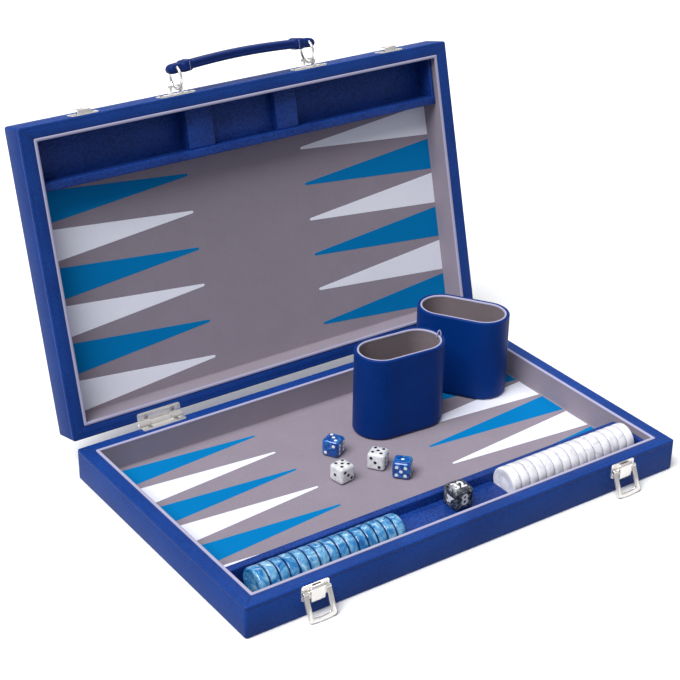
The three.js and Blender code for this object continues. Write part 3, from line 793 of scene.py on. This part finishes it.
for side, label in ((-1, "left"), (1, "right")):
    at = LID_RIM @ Matrix.Translation((side * HANDLE_X, 0, 0)) @ ON_FRONT
    # The bracket's second mesh is the near-black painted shade in and round its screw heads.
    plate, heads = bracket()
    hardware("bracket_" + label, plate, heads, "lid", at, ["handle_bracket_" + label])
    at = LID_RIM @ Matrix.Translation((SLIP + side * RING_X, 0, 0)) @ ON_FRONT
    make("ring_" + label, sweep(bmesh.new(), ring_path(), RING_WIRE, 16, True), NICKEL, "handle", at,
         ["handle_ring_" + label])
make("grip", grip(), GRIP, "handle", LID_RIM @ ON_FRONT, ["handle_grip"], 60)
make("grip_thread", grip_thread(), PIPING, "handle", LID_RIM @ ON_FRONT)


# ---- checkers, dice, cube and cups ----
CHECKER_R = 12.5
CHECKER_HALF = 3.85
CHECKER_UP = 16.6


def checker(x, y):
    """A polished disc standing on its edge, with rounded edges and shallow rings turned in its faces."""
    r, h = CHECKER_R, CHECKER_HALF
    half = [(0, h - 0.25), (5.2, h - 0.25), (5.6, h - 0.32), (6.0, h - 0.25), (9.0, h - 0.08), (10.4, h)]
    half += arc(r - 1.5, h - 1.5, 1.5, 80, 15, 4) + [(r, 0.6)]
    profile = half + [(a, -z) for a, z in reversed(half)]
    return lathe(bmesh.new(), profile, 64, Matrix.Translation((x, y, CHECKER_UP)) @ TURN_TO_X)


for colour, (first, y), material in (("blue", BLUE_STACK, BLUE_PEARL), ("white", WHITE_STACK, WHITE_PEARL)):
    for i in range(DISCS):
        node = f"checker_{colour}_{i + 1:02d}"
        make(f"disc_{colour}_{i + 1:02d}", checker(first + PITCH * i, y), material, node, BASE, [node], 50)

DIE = 14.0
PIP_SPACING = 3.3
PIPS = {
    1: [(0, 0)],
    2: [(-1, 1), (1, -1)],
    3: [(-1, 1), (0, 0), (1, -1)],
    4: [(-1, 1), (1, 1), (-1, -1), (1, -1)],
    5: [(-1, 1), (1, 1), (0, 0), (-1, -1), (1, -1)],
    6: [(-1, 1), (-1, 0), (-1, -1), (1, 1), (1, 0), (1, -1)],
}
# Each face's frame: local z out of the face, local y up (or away from the front on the top face).
FACES = {
    "+Z": Matrix.Identity(4),
    "-Z": Matrix.Rotation(math.pi, 4, "X"),
    "-Y": Matrix.Rotation(math.pi / 2, 4, "X"),
    "+X": Matrix.Rotation(math.pi / 2, 4, "Z") @ Matrix.Rotation(math.pi / 2, 4, "X"),
    "+Y": Matrix.Rotation(math.pi, 4, "Z") @ Matrix.Rotation(math.pi / 2, 4, "X"),
    "-X": Matrix.Rotation(-math.pi / 2, 4, "Z") @ Matrix.Rotation(math.pi / 2, 4, "X"),
}


def standing(x, y, z, yaw):
    return Matrix.Translation((x, y, z)) @ Matrix.Rotation(math.radians(yaw), 4, "Z")


def rounded_cube(size, edge, segments):
    return rounded_box(bmesh.new(), [-size / 2] * 3, [size / 2] * 3, edge, segments)


def die(name, node, x, y, yaw, top, left, right, body_material, pip_material, flipped=False):
    """A die with its top, left and right faces given. Flipped turns its slanting pips to the other diagonal."""
    hand = -1 if flipped else 1
    place = standing(x, y, FIELD + 0.1 + DIE / 2, yaw)
    make(name, rounded_cube(DIE, 2.7, 7), body_material, node, place, [node], 60)
    pips = bmesh.new()
    # Opposite faces add up to seven.
    faces = {"+Z": top, "-Z": 7 - top, "-X": left, "+X": 7 - left, "-Y": right, "+Y": 7 - right}
    for face, count in faces.items():
        for px, py in PIPS[count]:
            lathe(pips, [(0, -0.5), (1.3, -0.3), (1.32, 0.0), (1.1, 0.03), (0, 0.0)], 24,
                  FACES[face] @ Matrix.Translation((hand * px * PIP_SPACING, py * PIP_SPACING, DIE / 2)))
    make(name + "_pips", pips, pip_material, node, place)


die("die_blue_1", "blue_die_1", -15.6, 36.6, 29, 3, 2, 6, DIE_BLUE, PIP_WHITE, True)
die("die_blue_2", "blue_die_2", 9.6, -17.6, 43, 1, 5, 4, DIE_BLUE, PIP_WHITE)
die("die_white_1", "white_die_1", -31.6, 2.2, 8, 5, 1, 3, DIE_WHITE, PIP_BLACK)
die("die_white_2", "white_die_2", 1.6, 2.6, 36, 5, 3, 6, DIE_WHITE, PIP_BLACK)

CUBE = 16.2
ONE_FIGURE = 12.0
TWO_FIGURES = 10.6
cube_place = standing(10.2, -82.8, 13.3 + CUBE / 2, -2)
make("cube", rounded_cube(CUBE, 2.4, 6), SMOKE, "doubling_cube", cube_place, ["doubling_cube"], 60)


def numeral(text):
    """A numeral's mesh, flat in x and y and a little raised."""
    curve = bpy.data.curves.new("numeral", "FONT")
    curve.body = text
    curve.size = ONE_FIGURE if len(text) == 1 else TWO_FIGURES
    curve.align_x = "CENTER"
    curve.align_y = "CENTER"
    curve.extrude = 0.12
    curve.offset = 0.3
    holder = bpy.data.objects.new("numeral", curve)
    bpy.context.scene.collection.objects.link(holder)
    bpy.context.view_layer.update()
    shape = bpy.data.meshes.new_from_object(holder.evaluated_get(bpy.context.evaluated_depsgraph_get()))
    part = bmesh.new()
    part.from_mesh(shape)
    bpy.data.meshes.remove(shape)
    bpy.data.objects.remove(holder)
    bpy.data.curves.remove(curve)
    return part


numerals = bmesh.new()
for face, text, turn in (("+Z", "32", 0), ("-X", "4", -50), ("-Y", "8", 0), ("+X", "16", 0), ("+Y", "2", 90),
                         ("-Z", "64", 0)):
    merge(numerals, numeral(text), FACES[face] @ Matrix.Translation((0, 0, CUBE / 2 - 0.06))
          @ Matrix.Rotation(math.radians(turn), 4, "Z"))
make("cube_numerals", numerals, PIP_WHITE, "doubling_cube", cube_place)

CUP_L = 76.0
CUP_W = 41.0
CUP_H = 69.6
CUP_WALL = 2.4


def stadium(inset, z, wave=0.0):
    """One ring of the cup's outline; wave lets a cut edge wander a little."""
    straight = (CUP_L - CUP_W) / 2
    radius = CUP_W / 2 - inset
    steps = 20
    ring = []
    for end, start, ripple in ((1, -90, 9), (-1, 90, 7)):
        for k in range(steps + 1):
            a = math.radians(start + 180 * k / steps)
            ring.append((end * straight + radius * math.cos(a), radius * math.sin(a),
                         z + wave * math.sin(3 * a + end * straight) * math.cos(5 * a)))
        ring += [(end * straight * (1 - 2 * t / 6), end * radius, z + wave * math.sin(ripple * t))
                 for t in range(1, 6)]
    return ring


def cup_shell():
    """The leather wall and bottom, rounded below and at the rim. Its profile is (inset, height)."""
    profile = [(8.0, 0.0)] + arc(3.2, 3.2, 3.2, 180, 270, 8)[::-1]
    profile += [(0, 12), (0, 30), (0, 50), (0, CUP_H - 4), (0, CUP_H - 2)]
    profile += arc(0.9, CUP_H - 0.9, 0.9, 90, 180, 5)[::-1]
    profile += [(2.1, CUP_H - 0.1), (CUP_WALL, CUP_H - 0.8), (CUP_WALL, 4.0), (8.0, 2.8)]
    return loft(bmesh.new(), [stadium(q, z) for q, z in profile], caps=True)


def cup_lining():
    """The felt inside, down to its floor. Its top edge wanders a little."""
    profile = [(CUP_WALL - 0.05, 30), (CUP_WALL - 0.05, CUP_H - 1.4), (3.0, CUP_H - 1.0), (3.8, CUP_H - 1.4),
               (3.9, CUP_H - 3), (3.9, 5.5), (4.5, 3.9), (5.7, 3.4), (14, 3.4)]
    rings = [stadium(q, z, 0.12 if z > CUP_H - 5 else 0.0) for q, z in profile]
    return loft(bmesh.new(), rings, caps=True)


def cup_lining_edge():
    """The pale cut edge of the lining."""
    profile = [(2.42, CUP_H - 1.0), (2.5, CUP_H - 0.3), (2.8, CUP_H - 0.06), (3.4, CUP_H - 0.06),
               (3.85, CUP_H - 0.35), (4.05, CUP_H - 1.2)]
    return loft(bmesh.new(), [stadium(q, z, 0.05) for q, z in profile] + [stadium(3.2, CUP_H - 2.0)])


# The cups' seams run up one end of the wall. At the front cup's seam a small loop stands up from the rim; its pale
# piping colour is a painted highlight on the loop, given as (in from the end, y, up from the rim).
SEAM_UP = (3.5, 20, 40, 55, CUP_H - 2)
LOOP_PATH = ((4.6, -1.6, -1.6), (4.5, -1.8, 1.5), (3.9, -2.2, 3.8), (3.1, -2.6, 4.4), (2.4, -3.0, 3.2),
             (2.1, -3.3, -0.3))
for label, x, y, yaw in (("front", 52.9, 47.4, -4), ("back", 132.6, 69.2, -57)):
    node = "dice_cup_" + label
    place = standing(x, y, FIELD + 0.1, yaw)
    end = CUP_L / 2
    make(f"cup_{label}_shell", cup_shell(), CUP, node, place, [node], 50)
    make(f"cup_{label}_lining", cup_lining(), CUP_FELT, node, place)
    make(f"cup_{label}_edge", cup_lining_edge(), PIPING, node, place)
    seam = sweep(bmesh.new(), [(end - 0.05, 0, z) for z in SEAM_UP], 0.22, 8)
    make(f"cup_{label}_seam", seam, SEAM, node, place)
    if label == "front":
        # The loop is drawn in the pale piping colour as a painted highlight.
        loop_points = [(end - q, w, CUP_H + up) for q, w, up in LOOP_PATH]
        make("cup_front_loop_highlight", sweep(bmesh.new(), loop_points, 0.5, 10), PIPING, node, place)


# ---- stage, light and camera ----
# Lengths from here on are metres.
FLOOR_HALF = 40.0
FLOOR_TONES = [(0.3, (0.93, 0.93, 0.94)), (0.7, (0.96, 0.96, 0.96))]
SKY = (0.93, 0.95, 1.0, 1)
SKY_STRENGTH = 0.36
KEY_TOWARD = (0.5, 0.12, -0.86)
KEY_POWER = 3.65
KEY_SPREAD = 40
GLINT_AT = (0.5, 0.9, 1.0)
GLINT_TARGET = (0, 0, 0.1)
GLINT_SIZE = 0.5
GLINT_POWER = 3
CAMERA_AT = (-0.649624, -0.867146, 0.676534)
# Columns: the picture's right, its up and the way back from the object.
CAMERA_AXES = ((0.8211837, 0.25253296, -0.51174646),
               (-0.57046231, 0.38710218, -0.72437881),
               (0.01516865, 0.88678013, 0.46194253))
LENS = 89.50
scene = bpy.context.scene


def pale_floor():
    bm = bmesh.new()
    bmesh.ops.create_grid(bm, x_segments=1, y_segments=1, size=FLOOR_HALF)
    mesh = bpy.data.meshes.new("floor")
    bm.to_mesh(mesh)
    bm.free()
    mat, nodes, links, bsdf, where = new_material("floor")
    tone = ramp(nodes, links, noise(nodes, links, where, 3, 2), FLOOR_TONES)
    links.new(tone, bsdf.inputs["Base Color"])
    bsdf.inputs["Roughness"].default_value = 0.9
    mesh.materials.append(mat)
    floor = bpy.data.objects.new("floor", mesh)
    scene.collection.objects.link(floor)
    # The floor throws no light back up, so the walls that face down stay as dark as they should be.
    floor.visible_diffuse = False


def add_light(name, kind, energy, toward, location=(0, 0, 0)):
    light = bpy.data.lights.new(name, kind)
    light.energy = energy
    holder = bpy.data.objects.new(name, light)
    holder.location = location
    holder.rotation_euler = Vector(toward).to_track_quat("-Z", "Y").to_euler()
    scene.collection.objects.link(holder)
    return light


pale_floor()
world = bpy.data.worlds.new("studio")
world.use_nodes = True
world.node_tree.nodes["Background"].inputs["Color"].default_value = SKY
world.node_tree.nodes["Background"].inputs["Strength"].default_value = SKY_STRENGTH
scene.world = world
scene.view_settings.view_transform = "Standard"
key = add_light("key", "SUN", KEY_POWER, KEY_TOWARD)
key.angle = math.radians(KEY_SPREAD)
glint = add_light("glint", "AREA", GLINT_POWER, Vector(GLINT_TARGET) - Vector(GLINT_AT), GLINT_AT)
glint.shape = "SQUARE"
glint.size = GLINT_SIZE

camera = bpy.data.cameras.new("camera")
camera.sensor_width = 36
camera.lens = LENS
camera.clip_start = 0.05
view = bpy.data.objects.new("camera", camera)
view.matrix_world = Matrix.Translation(CAMERA_AT) @ Matrix(CAMERA_AXES).to_4x4()
scene.collection.objects.link(view)
scene.camera = view
